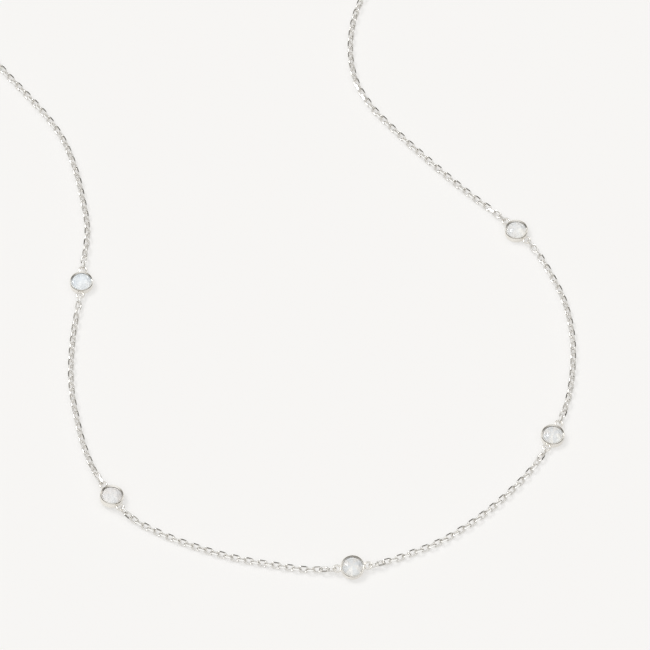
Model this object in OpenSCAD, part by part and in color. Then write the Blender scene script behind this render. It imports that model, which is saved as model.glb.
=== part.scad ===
// Gemstone station necklace: five round bezel-set stones on a fine cable chain,
// laid out on a table as one closed loop. Z = 0 is the table top.

/* [Chain] */
// Distance from one link to the next along the chain
link_pitch = 1.16; // [1.15:0.005:1.17]
// Diameter of the wire the links are made of
link_wire = 0.3; // [0.25:0.01:0.3]
// Outside width of a link
link_w = 1.25; // [1.2:0.01:1.3]
// Free play where one link hooks into the next
link_play = 0.14; // [0.12:0.01:0.16]
// Depth of the polished flat cut along both long sides of a link
cut_depth = 0.065; // [0.02:0.005:0.075]
// Angle by which each flat is turned out of the link's own plane, towards the side that faces up
cut_tilt = 19; // [0:1:20]
// Links in each stretch between two settings
links_between = 33; // [31:2:33]
// Links between the first setting and the tube of the chain's back
links_left = 43; // [20:1:43]
// Links between the last setting and the tube of the chain's back
links_right = 51; // [20:1:51]
// Outside diameter of the rings soldered to the settings and the clasp
ring_d = 1.5; // [1.5:0.05:1.6]

/* [Settings] */
// Outside diameter of a bezel cup
cup_d = 4; // [3.9:0.05:4.2]
// Height of a bezel cup
cup_h = 1.25; // [1.25:0.01:1.4]
// Thickness of the cup's wall at the stone
cup_wall = 0.2; // [0.18:0.01:0.22]
// Thickness of the cup's closed bottom
cup_floor = 0.22; // [0.15:0.01:0.25]
// How far the rubbed-over lip reaches in over the stone
lip_in = 0.12; // [0.1:0.01:0.14]
// Width of the lip's top edge, outside the bevel that is cut round the stone
lip_edge = 0.12; // [0.1:0.01:0.16]
// Height of the ledge that the stone sits on
ledge_h = 0.69; // [0.66:0.01:0.7]
// Height of the soldered rings above the underside of the cup
ring_h = 0.7; // [0.68:0.01:0.75]

/* [Stones] */
// Diameter of the table over its corners
table_d = 1.8; // [1.4:0.05:2]
// Height of the crown, from girdle to table
crown_h = 0.55; // [0.45:0.01:0.6]
// Thickness of the girdle
girdle_h = 0.06; // [0.04:0.01:0.08]
// Depth of the pavilion, from girdle to point
pavilion_h = 0.5; // [0.4:0.01:0.5]
// Gap between a stone and its setting
stone_gap = 0.04; // [0.03:0.01:0.05]

/* [Clasp] */
// Length of the clasp's barrel
barrel_l = 6.4; // [6:0.1:7]
// Diameter of the clasp's barrel
barrel_d = 2.2; // [2:0.1:2.4]

/* [Hidden] */
$fn = 36;

// Colours
silver = "silver";
moonstone = "aliceblue";

// The line of the chain on the table, X to the right and Y away from the viewer, once round
// the loop from the clasp. The first seven points and the last six are the tubes of the back.
route = [[-28, 118.5], [-41.5, 116], [-53.5, 108.5], [-62.5, 97.5], [-66.5, 84], [-65.5, 70],
    [-61.5, 60], [-56.5, 52.5], [-52, 47], [-48.5, 42.5], [-45.5, 37.5], [-43.5, 32],
    [-42, 25.5], [-41, 19], [-41.5, 12.5], [-42, 5], [-42.5, 1.5], [-43, -3], [-43, -13],
    [-42, -19], [-40.5, -25], [-38.5, -30], [-32.5, -38.5], [-27.5, -41.5], [-20.5, -44.5],
    [-14, -46.5], [-9, -47.5], [-2.5, -48.5], [9, -47.5], [14, -45.5], [18.5, -43.5],
    [24.5, -39.5], [31, -33.5], [35.5, -28], [40, -19], [41.5, -14], [42, -10.5], [42, -0.5],
    [41, 4.5], [39, 9.5], [35.5, 16], [30, 22], [25, 26.5], [17.5, 34], [12, 40], [8, 45],
    [5.5, 50], [4.5, 56], [5, 63], [7.5, 71], [9.5, 80], [8.5, 91], [3.5, 102], [-5.5, 111],
    [-16.5, 116.5]];
// Way along the route from the clasp to the middle setting
middle_s = 227.5;

// Each setting leans sideways a little on its chain, and each stone is turned in its cup
LEAN = 0;
TURN = 1;
stations = [[0, 10], [-8, 35], [8, 0], [0, 20], [0, 50]];

// Link and ring sizes worked out from the driving ones
link_l = link_pitch + link_play + 2 * link_wire;
end_r = (link_w - link_wire) / 2;
link_reach = (link_l - link_wire) / 2;
ring_r = (ring_d - link_wire) / 2;
ring_reach = cup_d / 2 + 2 * ring_r;
first_link = ring_reach - link_wire - link_play + link_reach;
station_pitch = 2 * first_link + (links_between - 1) * link_pitch;
eye_reach = barrel_l / 2 + 2 * ring_r - link_wire / 4;

// Links lie rolled to either side by this much, and wander a little about it
link_roll = 45;
roll_wander = 3;
wander_step = 21;
// Links over which the chain untwists beside a ring, and the way it takes to reach the table
untwist = 4;
descent = 5;
// Clearance under the wire of the lowest links, and height of the chain's middle line and of
// the clasp's
table_gap = 0.01;
chain_z = end_r * sin(link_roll + roll_wander) + link_wire / 2 + table_gap;
clasp_z = barrel_d / 2;

// Curve points from one route point to the next
steps = 16;

// Tubes of the chain's back: sides, radius, ring spacing, and gap to the links and the clasp
tube_sides = 8;
tube_r = (chain_z - table_gap) / cos(180 / tube_sides);
tube_step = 2.7;
tube_gap = 0.15;

// Rounding of a cup's foot, inset and drop of the bevel round its shoulder, width of its ledge,
// and rise under its lip
foot_r = 0.15;
shoulder_in = 0.08;
shoulder_drop = 0.1;
ledge_w = 0.27;
lip_rise = 0.09;

// A stone fills its cup up to the gap, and its pavilion rests by the ledge's inner edge
stone_r = cup_d / 2 - cup_wall - stone_gap;
ledge_in = cup_d / 2 - cup_wall - ledge_w;
girdle_z = ledge_h + stone_gap + pavilion_h * (1 - ledge_in / stone_r);
// Reach of the pavilion's lower row of kites, as a share of the stone's radius
kite_share = 0.45;

// Rounding of the clasp's ends, and depth of the seam round its middle
barrel_edge = 0.5;
seam = 0.08;

// Smooth closed curve through the route: at each point the slope weighs the two legs by length
function leg(i) = norm(route[(i + 1) % len(route)] - route[i]);
function slope(i) =
    let (n = len(route), h = (i + n - 1) % n, a = leg(h), b = leg(i),
        in = (route[i] - route[h]) / a, out = (route[(i + 1) % n] - route[i]) / b)
    (in * b + out * a) / (a + b);
function curve_point(i, t) =
    let (j = (i + 1) % len(route), w = leg(i))
    (2 * pow(t, 3) - 3 * t * t + 1) * route[i] + (pow(t, 3) - 2 * t * t + t) * w * slope(i)
    + (3 * t * t - 2 * pow(t, 3)) * route[j] + (pow(t, 3) - t * t) * w * slope(j);
raw = [for (i = [0:len(route) - 1], k = [0:steps - 1]) curve_point(i, k / steps)];
raw_x = [for (p = raw) p.x];
raw_y = [for (p = raw) p.y];

// The loop is centred over the origin
middle = [(min(raw_x) + max(raw_x)) / 2,
    (min(raw_y) - (cup_d - link_w) / 2 + max(raw_y) + (barrel_d - link_w) / 2) / 2];
loop = [for (p = concat(raw, [raw[0]])) p - middle];
way = [for (i = 0, s = 0; i < len(loop); s = s + norm(loop[min(i + 1, len(loop) - 1)] - loop[i]),
    i = i + 1) s];
loop_l = way[len(way) - 1];
by_way_x = [for (i = [0:len(loop) - 1]) [way[i], loop[i].x]];
by_way_y = [for (i = [0:len(loop) - 1]) [way[i], loop[i].y]];
function wrap(s) = s - loop_l * floor(s / loop_l);
function flat_at(s) = [lookup(wrap(s), by_way_x), lookup(wrap(s), by_way_y)];

// Way along the loop to each setting, and how high its cup and rings stand
function station_s(i) = middle_s + (i - 2) * station_pitch;
function cup_lift(i) = cup_d / 2 * sin(abs(stations[i][LEAN]));
function fall(d) = d <= 0 ? 1 : d >= descent ? 0 : (1 + cos(180 * d / descent)) / 2;
function height_at(s) = chain_z
    + (clasp_z - chain_z) * fall(min(s, loop_l - s) - eye_reach)
    + [for (i = [0:4]) (ring_h + cup_lift(i) - chain_z) * fall(abs(s - station_s(i)) - ring_reach)]
        * [1, 1, 1, 1, 1];
function point_at(s) = [flat_at(s).x, flat_at(s).y, height_at(s)];

// Puts its children on the loop at s, X along the loop, resting on the two points at s - reach
// and s + reach
module along(s, reach) {
    a = point_at(s - reach);
    b = point_at(s + reach);
    d = b - a;
    translate((a + b) / 2)
        rotate([0, -atan2(d.z, norm([d.x, d.y])), atan2(d.y, d.x)])
            children();
}

// Points of an arc about c, from angle a to angle b
function arc(c, r, a, b, n = 5) =
    [for (i = [0:n]) c + r * [cos(a + (b - a) * i / n), sin(a + (b - a) * i / n)]];

// Closed ring of round wire lying flat
module wire_ring(r) {
    rotate_extrude() translate([r, 0]) circle(d = link_wire);
}

// One oval link: two half rings and two straight sides. Both long sides are cut flat, by two
// parallel cuts that are turned by cut_tilt about the link's length.
module link() {
    side = (link_l - link_w) / 2;
    between_cuts = 2 * end_r * cos(cut_tilt) + link_wire - 2 * cut_depth;
    intersection() {
        union() {
            for (a = [0, 180]) {
                rotate([0, 0, a - 90]) translate([0, side, 0])
                    rotate_extrude(angle = 180) translate([end_r, 0]) circle(d = link_wire);
                rotate([0, 90, a]) translate([0, end_r, -side]) cylinder(d = link_wire, h = 2 * side);
            }
        }
        rotate([cut_tilt, 0, 0]) cube([2 * link_l, between_cuts, 2 * link_w], center = true);
    }
}

// How far link i has turned from lying flat: the links alternate, and beside a ring they twist
// round until the nearest one stands upright in it. ahead = links from here to the ring ahead.
function link_turn(i, ahead) =
    90 * (i + 1) - (link_roll + roll_wander * sin(wander_step * i)) * min(1, (i + 1) / untwist,
        ahead / untwist);

// Run of links from way s on, dir = 1 forwards along the loop and -1 backwards. It starts in a
// ring, and also ends in one if closed. Every other link is turned end for end, so that the cuts
// of all of them face up on the outside of the chain.
module chain(s, count, dir = 1, closed = true) {
    color(silver)
        for (i = [0:count - 1])
            along(s + dir * i * link_pitch, link_reach)
                rotate([dir * link_turn(i, closed ? count - i : untwist), 0, 0])
                    rotate([0, 90 * (1 - dir) + 180 * i, 0]) link();
}

// Bezel cup turned in one piece, with an inner ledge, a rubbed-over lip that is bevelled outside
// and cut to 45 degrees round the stone, and a ring soldered on at either side
module setting(i) {
    r = cup_d / 2;
    inner = r - cup_wall;
    lip = inner - lip_in;
    bevel = r - lip_edge - lip;
    under = girdle_z + girdle_h + stone_gap;
    profile = concat([[0, 0]], arc([r - foot_r, foot_r], foot_r, -90, 0),
        [[r, cup_h - shoulder_drop], [r - shoulder_in, cup_h], [r - lip_edge, cup_h],
        [lip, cup_h - bevel], [lip, under + lip_rise], [inner, under], [inner, ledge_h],
        [ledge_in, ledge_h], [ledge_in, cup_floor], [0, cup_floor]]);
    color(silver) station(i) {
        rotate_extrude() polygon(profile);
        for (side = [-1, 1]) translate([side * (r + ring_r), 0, ring_h]) wire_ring(ring_r);
    }
}

// Frame of setting i: the middle of the cup's underside, X along the chain
module station(i) {
    along(station_s(i), ring_reach)
        rotate([stations[i][LEAN], 0, 0]) translate([0, 0, -ring_h]) children();
}

// Cut stone: an eight-sided table, a row of eight triangles and one of eight kites round it,
// sixteen narrow facets above the girdle, and the same kites and facets below it. T, U, G, H,
// L and P are the first points of the table, the upper row, the girdle's top and bottom edges,
// the lower row and the point below.
module stone(i) {
    t = table_d / 2;
    top = girdle_z + girdle_h;
    upper = (stone_r + t) / 2;
    lower = stone_r * kite_share;
    half = cos(22.5);
    upper_z = top + crown_h * (stone_r - upper * half) / (stone_r - t);
    lower_z = girdle_z - pavilion_h * (1 - lower * half / stone_r);
    points = concat(
        [for (k = [0:7]) round_point(t, 45 * k, top + crown_h)],
        [for (k = [0:7]) round_point(upper, 45 * k + 22.5, upper_z)],
        [for (k = [0:15]) round_point(stone_r, 22.5 * k, top)],
        [for (k = [0:15]) round_point(stone_r, 22.5 * k, girdle_z)],
        [for (k = [0:7]) round_point(lower, 45 * k + 22.5, lower_z)],
        [[0, 0, girdle_z - pavilion_h]]);
    T = 0;
    U = 8;
    G = 16;
    H = 32;
    L = 48;
    P = 56;
    faces = concat([[for (k = [7:-1:0]) T + k]],
        [for (k = [0:7]) [T + k, T + (k + 1) % 8, U + k]],
        [for (k = [0:7]) [T + k, U + k, G + 2 * k, U + (k + 7) % 8]],
        [for (k = [0:7]) [U + k, G + 2 * k + 1, G + 2 * k]],
        [for (k = [0:7]) [U + k, G + (2 * k + 2) % 16, G + 2 * k + 1]],
        [for (k = [0:15]) [G + k, G + (k + 1) % 16, H + (k + 1) % 16, H + k]],
        [for (k = [0:7]) [L + k, H + 2 * k, H + 2 * k + 1]],
        [for (k = [0:7]) [L + k, H + 2 * k + 1, H + (2 * k + 2) % 16]],
        [for (k = [0:7]) [P, L + (k + 7) % 8, H + 2 * k, L + k]]);
    color(moonstone) station(i) rotate([0, 0, stations[i][TURN]]) polyhedron(points, faces);
}
function round_point(r, a, z) = [r * cos(a), r * sin(a), z];

// Back of the chain from way a to way b: one eight-sided tube as thick as the chain
module back_chain(a, b) {
    n = ceil((b - a) / tube_step);
    rings = [for (k = [0:n])
        let (s = a + (b - a) * k / n, c = point_at(s),
            d = flat_at(s + link_reach) - flat_at(s - link_reach), side = [d.y, -d.x, 0] / norm(d))
        [for (j = [0:tube_sides - 1])
            let (v = 360 * (j + 0.5) / tube_sides)
            c + tube_r * (cos(v) * side + [0, 0, sin(v)])]];
    faces = concat([[for (j = [tube_sides - 1:-1:0]) j]],
        [for (k = [0:n - 1], j = [0:tube_sides - 1])
            let (q = k * tube_sides, j2 = (j + 1) % tube_sides)
            [q + j, q + j2, q + j2 + tube_sides, q + j + tube_sides]],
        [[for (j = [0:tube_sides - 1]) n * tube_sides + j]]);
    color(silver) polyhedron([for (r = rings, p = r) p], faces);
}

// Closed barrel clasp with a ring soldered to either end
module clasp() {
    r = barrel_d / 2;
    half = barrel_l / 2;
    core = r - barrel_edge;
    profile = concat([[0, -half]], arc([core, barrel_edge - half], barrel_edge, -90, 0),
        [[r, -seam], [r - seam, 0], [r, seam]],
        arc([core, half - barrel_edge], barrel_edge, 0, 90), [[0, half]]);
    color(silver) along(0, eye_reach) {
        rotate([0, 90, 0]) rotate_extrude() polygon(profile);
        for (side = [-1, 1])
            translate([side * (eye_reach - ring_r), 0, 0]) wire_ring(ring_r);
    }
}

// Ways along the loop where the tubes of the back meet the links and the clasp
left_end = station_s(0) - first_link - (links_left - 1) * link_pitch - link_l / 2 - tube_gap;
right_end = station_s(4) + first_link + (links_right - 1) * link_pitch + link_l / 2 + tube_gap;
clasp_end = eye_reach + link_wire / 2 + tube_gap;

setting(0);  // setting_1
setting(1);  // setting_2
setting(2);  // setting_3
setting(3);  // setting_4
setting(4);  // setting_5
stone(0);  // stone_1
stone(1);  // stone_2
stone(2);  // stone_3
stone(3);  // stone_4
stone(4);  // stone_5
chain(station_s(0) - first_link, links_left, -1, false);  // chain_left
chain(station_s(0) + first_link, links_between);  // chain_1_2
chain(station_s(1) + first_link, links_between);  // chain_2_3
chain(station_s(2) + first_link, links_between);  // chain_3_4
chain(station_s(3) + first_link, links_between);  // chain_4_5
chain(station_s(4) + first_link, links_right, 1, false);  // chain_right
back_chain(clasp_end, left_end);  // back_chain_left
back_chain(right_end, loop_l - clasp_end);  // back_chain_right
clasp();
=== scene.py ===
import math

import bpy
import numpy as np
from mathutils import Matrix, Vector


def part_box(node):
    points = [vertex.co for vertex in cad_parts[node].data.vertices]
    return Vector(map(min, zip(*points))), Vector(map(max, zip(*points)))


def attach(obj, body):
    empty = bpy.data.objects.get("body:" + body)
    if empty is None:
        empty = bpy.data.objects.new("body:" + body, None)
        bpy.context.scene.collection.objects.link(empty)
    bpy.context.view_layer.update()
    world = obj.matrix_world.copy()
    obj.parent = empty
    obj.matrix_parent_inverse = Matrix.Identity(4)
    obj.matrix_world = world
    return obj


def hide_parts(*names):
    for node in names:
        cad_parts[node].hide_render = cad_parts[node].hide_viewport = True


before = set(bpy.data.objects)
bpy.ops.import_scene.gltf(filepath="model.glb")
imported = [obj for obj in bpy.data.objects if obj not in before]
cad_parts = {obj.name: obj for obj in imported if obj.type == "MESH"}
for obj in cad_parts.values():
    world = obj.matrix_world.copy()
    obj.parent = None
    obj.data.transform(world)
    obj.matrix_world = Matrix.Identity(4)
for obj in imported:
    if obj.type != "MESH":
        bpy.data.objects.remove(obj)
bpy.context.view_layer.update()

# Cable chain of sterling silver wire, 0.3 mm thick. Each oval link is bent round a steel form,
# hooked into the last one and soldered shut, and the finished chain is drawn past a cutter
# that leaves a mirror-bright flat along both long sides of every link.
link_pitch = 1.16
link_wire = 0.3
link_w = 1.25
link_play = 0.14
cut_depth = 0.065
cut_tilt = math.radians(19)
ring_d = 1.5

# Sizes here and below are in millimetres. mm is one millimetre in the scene's own metres.
mm = 0.001
link_l = link_pitch + link_play + 2 * link_wire
end_r = (link_w - link_wire) / 2
link_reach = (link_l - link_wire) / 2
ring_r = (ring_d - link_wire) / 2


def linear(hex_colour):
    """A colour written as sRGB hex, turned to the linear values that a socket takes."""
    parts = [int(hex_colour[i:i + 2], 16) / 255 for i in (0, 2, 4)]
    return [*(c / 12.92 if c < 0.04045 else ((c + 0.055) / 1.055) ** 2.4 for c in parts), 1]


def add(tree, kind, inputs=None, links=None, **settings):
    """Adds a node, with its settings, its input values and the outputs that feed its inputs."""
    made = tree.nodes.new("ShaderNode" + kind)
    for name, value in settings.items():
        setattr(made, name, value)
    for name, value in (inputs or {}).items():
        made.inputs[name].default_value = value
    for name, source in (links or {}).items():
        tree.links.new(source, made.inputs[name])
    return made


def polished_silver(name, colour, rough, grain_mm, worn):
    """Silver buffed on a wheel: an even bright metal whose finest marks only show as a gloss that
    changes a little from place to place."""
    material = bpy.data.materials.new(name)
    material.use_nodes = True
    tree = material.node_tree
    tree.nodes.clear()
    place = add(tree, "TexCoord").outputs["Object"]
    marks = add(tree, "TexNoise", {"Scale": 1 / (grain_mm * mm), "Detail": 3.0,
                                   "Roughness": 0.6}, {"Vector": place})
    gloss = add(tree, "MapRange", {"From Min": 0.3, "From Max": 0.7, "To Min": rough,
                                   "To Max": rough + worn}, {"Value": marks.outputs["Fac"]})
    dents = add(tree, "Bump", {"Strength": 0.15, "Distance": 0.01 * mm},
                {"Height": marks.outputs["Fac"]})
    surface = add(tree, "BsdfPrincipled", {"Base Color": linear(colour), "Metallic": 1.0},
                  {"Roughness": gloss.outputs["Result"], "Normal": dents.outputs["Normal"]})
    add(tree, "OutputMaterial", links={"Surface": surface.outputs["BSDF"]})
    return material


# Drawn wire, tumbled bright after soldering: whiter than steel, with a faint warm tone.
tumbled_wire = polished_silver("tumbled_sterling_silver_wire", "f2f0ec", 0.12, 0.25, 0.1)
# The flat that the cutter leaves is a true mirror, so it flashes white or shows dark.
cut_flat = polished_silver("diamond_cut_silver_flat", "f6f5f2", 0.03, 0.4, 0.03)


def pick(piece, mode, wanted):
    """Leaves piece in edit mode, with only those faces or edges selected whose corners all pass."""
    bpy.ops.object.mode_set(mode="EDIT")
    bpy.ops.mesh.select_mode(type=mode)
    bpy.ops.mesh.select_all(action="DESELECT")
    bpy.ops.object.mode_set(mode="OBJECT")
    for part in piece.data.polygons if mode == "FACE" else piece.data.edges:
        part.select = all(wanted(piece.data.vertices[v].co) for v in part.vertices)
    bpy.ops.object.mode_set(mode="EDIT")


# One link: half a wire ring at either end and a straight side between them. It is repeated
# hundreds of times, so its wire has only six sides. hair is far less than any of its edges.
hair = 0.0001
bpy.ops.object.select_all(action="DESELECT")
bpy.ops.mesh.primitive_torus_add(major_radius=end_r, minor_radius=link_wire / 2,
                                 major_segments=12, minor_segments=6)
link = bpy.context.object
side_x = (link_l - link_w) / 2
pick(link, "FACE", lambda corner: corner.x < hair)
bpy.ops.mesh.delete(type="FACE")
bpy.ops.mesh.select_all(action="SELECT")
bpy.ops.transform.translate(value=(side_x, 0, 0))
bpy.ops.object.mode_set(mode="OBJECT")
other_end = link.modifiers.new("other_end", "MIRROR")
other_end.use_mirror_merge = False
bpy.ops.object.modifier_apply(modifier="other_end")
for side in (-1, 1):
    pick(link, "EDGE", lambda corner: abs(corner.x) < side_x + hair and corner.y * side > 0)
    bpy.ops.mesh.bridge_edge_loops()

# The two cuts run along the link and are tilted about its length. Each leaves one flat with a
# sharp border, so that the mirror ends there and the wire beside it still looks round.
across_cut = Vector((0, math.cos(cut_tilt), math.sin(cut_tilt)))
half_cut = end_r * math.cos(cut_tilt) + link_wire / 2 - cut_depth
for side in (-1, 1):
    bpy.ops.mesh.select_all(action="SELECT")
    bpy.ops.mesh.bisect(plane_co=side * half_cut * across_cut, plane_no=side * across_cut,
                        use_fill=True, clear_outer=True)
bpy.ops.mesh.select_all(action="SELECT")
bpy.ops.mesh.normals_make_consistent(inside=False)
link.data.materials.append(tumbled_wire)
link.data.materials.append(cut_flat)
pick(link, "FACE", lambda corner: abs(corner.dot(across_cut)) > half_cut - hair)
link.active_material_index = 1
bpy.ops.object.material_slot_assign()
bpy.ops.mesh.region_to_loop()
bpy.ops.mesh.mark_sharp()
bpy.ops.object.mode_set(mode="OBJECT")
bpy.ops.object.shade_smooth_by_angle(angle=math.radians(75), keep_sharp_edges=True)

# The line of the chain on the table, X to the right and Y away, in millimetres, once round the
# loop from the clasp: the same points, curve, heights and turns as the solids were built on.
route = np.array([
    (-28, 118.5), (-41.5, 116), (-53.5, 108.5), (-62.5, 97.5), (-66.5, 84), (-65.5, 70),
    (-61.5, 60), (-56.5, 52.5), (-52, 47), (-48.5, 42.5), (-45.5, 37.5), (-43.5, 32),
    (-42, 25.5), (-41, 19), (-41.5, 12.5), (-42, 5), (-42.5, 1.5), (-43, -3), (-43, -13),
    (-42, -19), (-40.5, -25), (-38.5, -30), (-32.5, -38.5), (-27.5, -41.5), (-20.5, -44.5),
    (-14, -46.5), (-9, -47.5), (-2.5, -48.5), (9, -47.5), (14, -45.5), (18.5, -43.5),
    (24.5, -39.5), (31, -33.5), (35.5, -28), (40, -19), (41.5, -14), (42, -10.5), (42, -0.5),
    (41, 4.5), (39, 9.5), (35.5, 16), (30, 22), (25, 26.5), (17.5, 34), (12, 40), (8, 45),
    (5.5, 50), (4.5, 56), (5, 63), (7.5, 71), (9.5, 80), (8.5, 91), (3.5, 102), (-5.5, 111),
    (-16.5, 116.5)])

# Way along the loop to the middle setting, the sizes of the cups, their rings and the clasp, and
# how far each cup leans, in degrees.
middle_s = 227.5
cup_d = 4
barrel_l = 6.4
barrel_d = 2.2
leans = [0, -8, 8, 0, 0]
ring_h = 0.7

# Links in each stretch, the degrees by which they lean and wander, and how the chain untwists
# and comes down to the table beside a ring, in links and millimetres.
links_between = 33
links_left = 43
links_right = 51
link_roll = 45
roll_wander = 3
wander_step = 21
untwist = 4
descent = 5
table_gap = 0.01

chain_z = end_r * math.sin(math.radians(link_roll + roll_wander)) + link_wire / 2 + table_gap
ring_reach = cup_d / 2 + 2 * ring_r
eye_reach = barrel_l / 2 + 2 * ring_r - link_wire / 4
to_first = link_reach - link_wire - link_play
station_pitch = 2 * (ring_reach + to_first) + (links_between - 1) * link_pitch

# A smooth curve through the points of the route, in so many steps from each point to the next,
# moved so that the middle of the whole necklace is at zero.
steps = 16
ahead = np.roll(route, -1, axis=0)
leg = np.linalg.norm(ahead - route, axis=1)[:, None]
going = (ahead - route) / leg
slope = (np.roll(going, 1, axis=0) * leg + going * np.roll(leg, 1)) / (leg + np.roll(leg, 1))
line = []
for t in np.arange(steps) / steps:
    line.append((2 * t**3 - 3 * t**2 + 1) * route + (t**3 - 2 * t**2 + t) * leg * slope
                + (3 * t**2 - 2 * t**3) * ahead + (t**3 - t**2) * leg * np.roll(slope, -1, axis=0))
line = np.stack(line, axis=1).reshape(-1, 2)
low = line.min(axis=0) - (0, (cup_d - link_w) / 2)
high = line.max(axis=0) + (0, (barrel_d - link_w) / 2)
middle = (low + high) / 2
line = np.vstack([line, line[:1]]) - middle
way = np.concatenate([[0], np.cumsum(np.linalg.norm(np.diff(line, axis=0), axis=1))])
loop_l = way[-1]


def station_s(i):
    """Way along the loop to setting i."""
    return middle_s + (i - 2) * station_pitch


def fall(d):
    """How much of a ring's height the chain still has at distance d from it."""
    return (1 + math.cos(math.pi * min(max(d / descent, 0), 1))) / 2


def point_at(s):
    """The chain's middle line at way s: on the table, and raised to the rings beside it."""
    z = chain_z + (barrel_d / 2 - chain_z) * fall(min(s % loop_l, -s % loop_l) - eye_reach)
    for i in range(5):
        lift = cup_d / 2 * math.sin(math.radians(abs(leans[i])))
        z += (ring_h + lift - chain_z) * fall(abs(s - station_s(i)) - ring_reach)
    x, y = (np.interp(s % loop_l, way, line[:, k]) for k in (0, 1))
    return Vector((x, y, z))


def along(s, reach):
    """Place on the loop at s, X along it, resting on the two points at s - reach and s + reach."""
    a, b = point_at(s - reach), point_at(s + reach)
    d = b - a
    return (Matrix.Scale(mm, 4) @ Matrix.Translation((a + b) / 2)
            @ Matrix.Rotation(math.atan2(d.y, d.x), 4, "Z")
            @ Matrix.Rotation(-math.atan2(d.z, math.hypot(d.x, d.y)), 4, "Y"))


def lay_chain(name, node, start, pitch, first, count, direction, to_ring=None):
    """Copies the link count times from way start on, each turned a quarter against the last.
    first is the number of links before it from the ring behind, to_ring the number from its
    first link to a ring ahead."""
    bpy.ops.object.select_all(action="DESELECT")
    for k in range(count):
        i = first + k
        share = min(1, (i + 1) / untwist, (to_ring - k) / untwist if to_ring else 1)
        turn = 90 * (i + 1) - (link_roll + roll_wander
                               * math.sin(math.radians(wander_step * i))) * share
        copy = link.copy()
        copy.data = link.data.copy()
        copy.data.transform(along(start + direction * k * pitch, link_reach)
                            @ Matrix.Rotation(direction * math.radians(turn), 4, "X")
                            @ Matrix.Rotation(math.pi * (i + (direction < 0)), 4, "Y"))
        bpy.context.collection.objects.link(copy)
        copy.select_set(True)
        bpy.context.view_layer.objects.active = copy
    bpy.ops.object.join()
    run = bpy.context.object
    run.name = name
    run.data.name = name
    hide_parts(node)
    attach(run, "root")


# The stretches that the solids show as links.
from_ring = ring_reach + to_first
lay_chain("links_left", "chain_left", station_s(0) - from_ring, link_pitch, 0, links_left, -1)
for i, node in enumerate(("chain_1_2", "chain_2_3", "chain_3_4", "chain_4_5")):
    lay_chain(node.replace("chain", "links"), node, station_s(i) + from_ring, link_pitch, 0,
              links_between, 1, links_between)
lay_chain("links_right", "chain_right", station_s(4) + from_ring, link_pitch, 0, links_right, 1)

# The back of the same chain, up to the rings of the clasp: the solids show it as two tubes.
# links_left and links_right are odd, so an even number of links goes in, and the last one stands
# upright in the clasp's ring.
left_last = station_s(0) - from_ring - (links_left - 1) * link_pitch
right_last = station_s(4) + from_ring + (links_right - 1) * link_pitch
clasp_first = eye_reach + to_first
for name, node, last, done, direction, room in (
        ("back_links_left", "back_chain_left", left_last, links_left, -1,
         left_last - clasp_first),
        ("back_links_right", "back_chain_right", right_last, links_right, 1,
         loop_l - clasp_first - right_last)):
    count = 2 * round(room / link_pitch / 2)
    pitch = room / count
    lay_chain(name, node, last + direction * pitch, pitch, done, count, direction, count)
bpy.data.objects.remove(link)

# Five bezel cups, turned from sterling silver, with a closed bottom. The setter rubs the thin
# wall over the edge of the stone with a burnisher, which leaves it bright and a little uneven.
burnished_silver = polished_silver("burnished_sterling_silver", "f1eee8", 0.12, 0.5, 0.1)
for i in range(1, 6):
    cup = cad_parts[f"setting_{i}"]
    cup.data.materials.clear()
    cup.data.materials.append(burnished_silver)

# Five round moonstones, cut with an eight-sided table: milky, half clear, and with a soft blue
# sheen where thin layers under the surface scatter the light. That sheen is painted on: a lighter
# colour and a painted glow on the side of the stone away from the lamp. Fine veils run along the
# layers, and painted reflections of the facets below show through the body as paler and greyer
# sectors.
# How strongly the stone glows where its painted sheen lies: a painted glow that the stone gives out
# itself.
painted_glow_share = 0.1
veil_w = 1 / 6
veil_l = 1.25
veil_colour = "d4d6d8"
# Colour of the painted reflections of the facets below.
painted_facet_colour = "d6dfe7"


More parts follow.
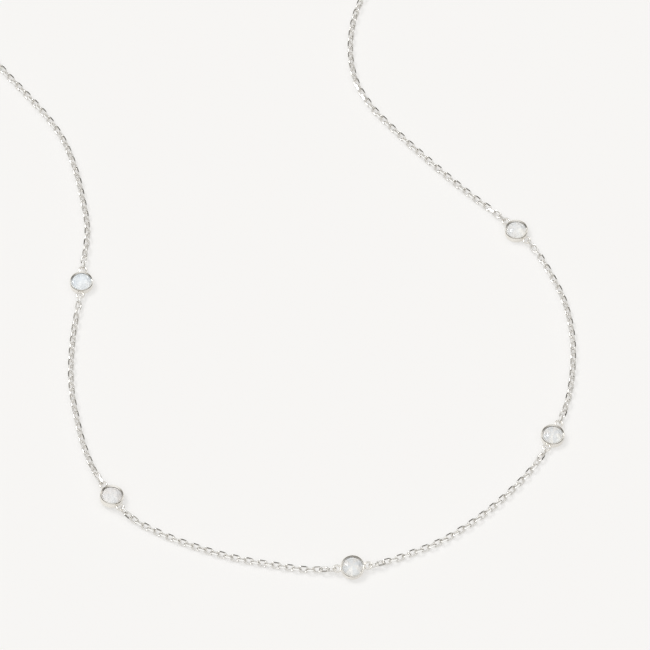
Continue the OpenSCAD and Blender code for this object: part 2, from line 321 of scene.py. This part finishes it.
def moonstone(name, centre, body, painted_sheen, painted_sheen_at_mm, painted_sheen_mm, veils_turn, veils, painted_facets):
    """Moonstone whose painted sheen, a lighter colour and a faint painted glow (emission), lies
    painted_sheen_at_mm from the middle of the stone and fades out over painted_sheen_mm. It stands
    for light that enters on the other side and comes back out there: painted_glow_share of it
    glows.
    veils and painted_facets say how strongly the veils and the painted facet reflections show, and
    veils_turn how the veils run."""
    material = bpy.data.materials.new(name)
    material.use_nodes = True
    tree = material.node_tree
    tree.nodes.clear()
    in_mm = add(tree, "Mapping", {"Location": -centre / mm, "Scale": [1 / mm] * 3},
                {"Vector": add(tree, "TexCoord").outputs["Object"]}).outputs["Vector"]
    # Painted sheen: a lighter colour and a painted glow that fade out from a point on the side of
    # the stone away from the lamp.
    reach = add(tree, "VectorMath", {1: (*painted_sheen_at_mm, 0)}, {0: in_mm}, operation="DISTANCE")
    painted_glow = add(tree, "MapRange", {"From Min": 0.0, "From Max": painted_sheen_mm, "To Min": 1.0,
                                  "To Max": 0.0}, {"Value": reach.outputs["Value"]},
               interpolation_type="SMOOTHSTEP")
    layers = add(tree, "Mapping", {"Rotation": (0, 0, math.radians(veils_turn)),
                                   "Scale": (1 / veil_w, 1 / veil_l, 1 / veil_l)},
                 {"Vector": in_mm})
    threads = add(tree, "TexNoise", {"Scale": 1.0, "Detail": 2.0},
                  {"Vector": layers.outputs["Vector"]})
    veiled = add(tree, "MapRange", {"From Min": 0.42, "From Max": 0.62, "To Min": 0.0,
                                    "To Max": veils}, {"Value": threads.outputs["Fac"]})
    # Painted reflections of the facets below: eight paler and greyer sectors round the middle of
    # the stone.
    across = add(tree, "SeparateXYZ", links={"Vector": in_mm})
    around = add(tree, "Math", links={0: across.outputs["Y"], 1: across.outputs["X"]},
                 operation="ARCTAN2")
    eighths = add(tree, "Math", {1: 4.0}, {0: around.outputs["Value"]}, operation="MULTIPLY")
    wave = add(tree, "Math", links={0: eighths.outputs["Value"]}, operation="SINE")
    painted_facet_mask = add(tree, "MapRange", {"From Min": -0.3, "From Max": 0.3, "To Min": 0.0,
                                    "To Max": painted_facets}, {"Value": wave.outputs["Value"]})
    # Inputs 6 and 7 of a colour mix are its two colours, and output 2 is the mixed one.
    painted_sheen_colour = add(tree, "Mix", {6: linear(body), 7: linear(painted_sheen)}, {0: painted_glow.outputs["Result"]},
              data_type="RGBA").outputs[2]
    with_painted_facets = add(tree, "Mix", {7: linear(painted_facet_colour)}, {0: painted_facet_mask.outputs["Result"], 6: painted_sheen_colour},
              data_type="RGBA").outputs[2]
    colour = add(tree, "Mix", {7: linear(veil_colour)}, {0: veiled.outputs["Result"], 6: with_painted_facets},
                 data_type="RGBA").outputs[2]
    painted_glow_strength = add(tree, "Math", {1: painted_glow_share}, {0: painted_glow.outputs["Result"]},
                   operation="MULTIPLY")
    surface = add(tree, "BsdfPrincipled",
                  {"Roughness": 0.05, "IOR": 1.52, "Emission Color": linear(painted_sheen),
                   "Subsurface Weight": 0.4, "Subsurface Radius": (1.0, 1.0, 1.0),
                   "Subsurface Scale": 0.5 * mm},
                  {"Base Color": colour, "Emission Strength": painted_glow_strength.outputs["Value"]})
    add(tree, "OutputMaterial", links={"Surface": surface.outputs["BSDF"]})
    return material


# A row per stone: its number, body colour, the colour of its painted sheen and glow, where that
# lies, how far it fades, the turn and strength of its veils, and the strength of its painted facet
# reflections.
for i, body, painted_sheen, painted_sheen_at_mm, painted_sheen_mm, veils_turn, veils, painted_facets in (
        (1, "eff5fa", "f5f6f6", (0.5, -0.7), 1.8, 12, 0.35, 0.3),
        (2, "f2eeeb", "f5f4f2", (0.1, -1.1), 1.8, 84, 0.5, 0.2),
        (3, "e9e7e4", "fcfbf7", (0.2, -1.3), 1.9, 20, 0.4, 0.4),
        (4, "edebe8", "faf9f4", (0.6, -1.1), 1.9, 5, 0.6, 0.35),
        (5, "edecea", "fefbf4", (0.9, -0.9), 1.9, 90, 0.3, 0.25)):
    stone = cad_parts[f"stone_{i}"]
    low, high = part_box(f"stone_{i}")
    stone.data.materials.clear()
    stone.data.materials.append(moonstone(f"moonstone_{i}", (low + high) / 2, body, painted_sheen, painted_sheen_at_mm,
                                          painted_sheen_mm, veils_turn, veils, painted_facets))

# Barrel clasp at the back of the neck, turned from silver in two halves that screw together at
# the seam, with a ring soldered to either end. Polishing on the lathe leaves it evenly bright.
turned_silver = polished_silver("turned_sterling_silver", "f0eeea", 0.1, 0.3, 0.08)
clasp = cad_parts["clasp"]
clasp.data.materials.clear()
clasp.data.materials.append(turned_silver)

# White acrylic table top, lit from below as well, which keeps the shadows on it pale. The studio
# is light: a bright ceiling that falls off towards the walls, a little less so on the camera's
# side, and one soft lamp far off to the left and behind.
bpy.ops.object.select_all(action="DESELECT")
bpy.ops.mesh.primitive_plane_add(size=8, location=(0, 0, 0))
table = bpy.context.object
table.name = "table_top"
lit_white = bpy.data.materials.new("lit_white_acrylic")
lit_white.use_nodes = True
tree = lit_white.node_tree
tree.nodes.clear()
panel = add(tree, "BsdfPrincipled", {"Base Color": linear("b3b2b1"), "Roughness": 0.9,
                                     "Specular IOR Level": 0.0,
                                     "Emission Color": linear("fffefc"),
                                     "Emission Strength": 0.49})
add(tree, "OutputMaterial", links={"Surface": panel.outputs["BSDF"]})
table.data.materials.append(lit_white)

studio = bpy.data.worlds.new("studio")
bpy.context.scene.world = studio
studio.use_nodes = True
sky = studio.node_tree
sky.nodes.clear()
direction = add(sky, "TexCoord").outputs["Generated"]
height = add(sky, "VectorMath", {1: (0, -0.14, 1)}, {0: direction}, operation="DOT_PRODUCT")
ramp = add(sky, "ValToRGB", links={"Fac": height.outputs["Value"]})
ramp.color_ramp.elements[0].position = 0.3
ramp.color_ramp.elements[0].color = linear("615f5b")
ramp.color_ramp.elements[1].position = 0.72
ramp.color_ramp.elements[1].color = linear("ffffff")
halfway = ramp.color_ramp.elements.new(0.5)
halfway.color = linear("adaaa5")
background = add(sky, "Background", {"Strength": 1.03}, {"Color": ramp.outputs["Color"]})
add(sky, "OutputWorld", links={"Surface": background.outputs["Background"]})

from_lamp = Vector((-0.46, 0.40, 0.79))
bpy.ops.object.light_add(type="SUN", rotation=from_lamp.to_track_quat("Z", "Y").to_euler())
lamp = bpy.context.object
lamp.name = "soft_lamp"
lamp.data.energy = 0.9
lamp.data.angle = math.radians(25)

bpy.context.scene.view_settings.view_transform = "Standard"

# The camera looks down at the table from in front. It aims at the point where the route of the
# chain was given as zero, which is the middle of the picture.
target = Vector((*(-mm * middle), 0))
tilt = math.radians(57.8)
distance = 0.98068
bpy.ops.object.camera_add(location=target + distance * Vector((0, -math.cos(tilt), math.sin(tilt))),
                          rotation=(math.radians(90) - tilt, 0, 0))
camera = bpy.context.object
camera.data.sensor_width = 36
camera.data.lens = 317.7
camera.data.clip_start = 0.01
camera.data.clip_end = 50
bpy.context.scene.camera = camera
